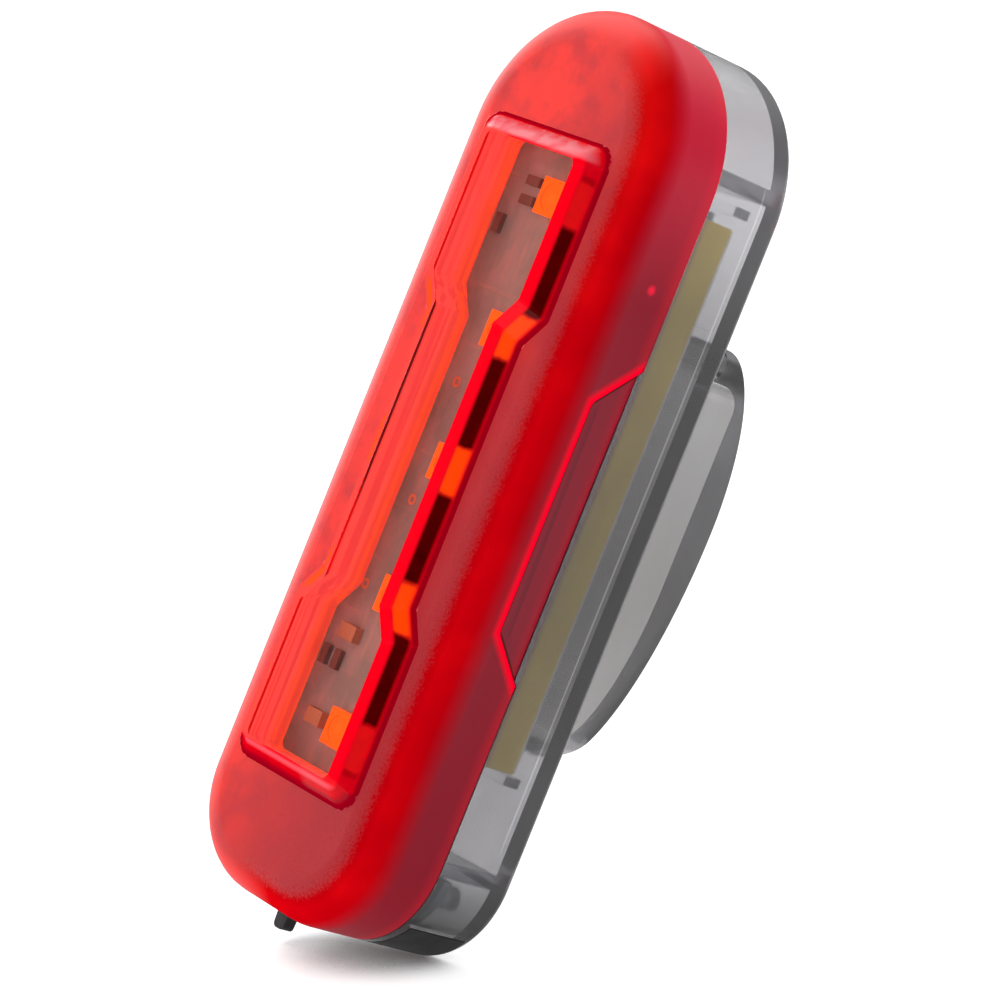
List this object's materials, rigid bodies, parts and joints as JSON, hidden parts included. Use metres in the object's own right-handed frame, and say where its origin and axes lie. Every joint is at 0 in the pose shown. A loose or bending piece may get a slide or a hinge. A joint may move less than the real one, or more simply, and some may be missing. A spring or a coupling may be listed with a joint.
{
  "type": "bicycle rear light",
  "caption": "Slim round-ended rechargeable bicycle rear light with a waisted red window, smoked rear case, side button, covered charging port and sprung strap clip.",
  "frame": {"origin": "centre of the flat back face, midway along the body and across it", "axes": "+Y out of the back face towards the clip, the lens looks towards -Y; +Z along the body towards the end where the clip is rooted; X across the body"},
  "size_m": [0.023, 0.0259, 0.078],
  "materials": {
    "lens_red": "clear red, fine texture on the skin and gloss on the window",
    "case_smoke": "clear smoked grey, gloss",
    "silicone_pale": "matt",
    "rubber_red": "satin",
    "switch_black": "matt",
    "board_grey": "grey-brown solder resist, semi-gloss",
    "ceramic_black": "matt",
    "ceramic_tan": "matt",
    "chip_black": "matt moulded",
    "coil_grey": "matt",
    "emitter_body": "white body under a yellow gel dish",
    "cell_silver": "laminate, satin",
    "tape_yellow": "film, satin",
    "foam_black": "foam, matt",
    "lead_red": "satin",
    "lead_black": "satin",
    "pin_brass": "plated",
    "socket_steel": "plated sheet",
    "rubber_black": "matt"
  },
  "bodies": {
    "light": {"back_capacitors": "ceramic_tan", "battery_cell": "cell_silver", "battery_foam": "foam_black", "battery_lead_black": "lead_black", "battery_lead_red": "lead_red", "battery_tape": "tape_yellow", "board_pins": "pin_brass", "boost_coil": "coil_grey", "charge_board": "board_grey", "charge_chip": "chip_black", "controller_chip": "chip_black", "front_capacitors": "ceramic_tan", "front_lens": "lens_red", "indicator_led": "emitter_body", "led_1": "emitter_body", "led_2": "emitter_body", "led_3": "emitter_body", "led_4": "emitter_body", "led_5": "emitter_body", "led_board": "board_grey", "led_resistors": "ceramic_black", "port_anchor": "rubber_black", "protection_board": "board_grey", "rear_case": "case_smoke", "seam_gasket": "silicone_pale", "side_switch": "switch_black", "usb_shell": "socket_steel", "usb_tongue": "chip_black"},
    "clip": {"clip_arm": "case_smoke"},
    "button": {"power_button": "rubber_red", "switch_plunger": "switch_black"},
    "cover": {"port_cover": "rubber_black"}
  },
  "joints": [
    {"name": "clip_flex", "type": "hinge", "parent": "light", "child": "clip", "pos_m": [0, 0.0019, 0.01493], "axis": [1, 0, 0], "range_deg": [0, 8], "stiffness_Nm_per_rad": 1},
    {"name": "port_cover_hinge", "type": "hinge", "parent": "light", "child": "cover", "pos_m": [0.00535, -0.00382, -0.03737], "axis": [0, -1, 0], "range_deg": [0, 100], "stiffness_Nm_per_rad": 0.0008},
    {"name": "button_press", "type": "slide", "parent": "light", "child": "button", "axis": [1, 0, 0], "range_m": [0, 0.00035], "stiffness_N_per_m": 4000}
  ]
}
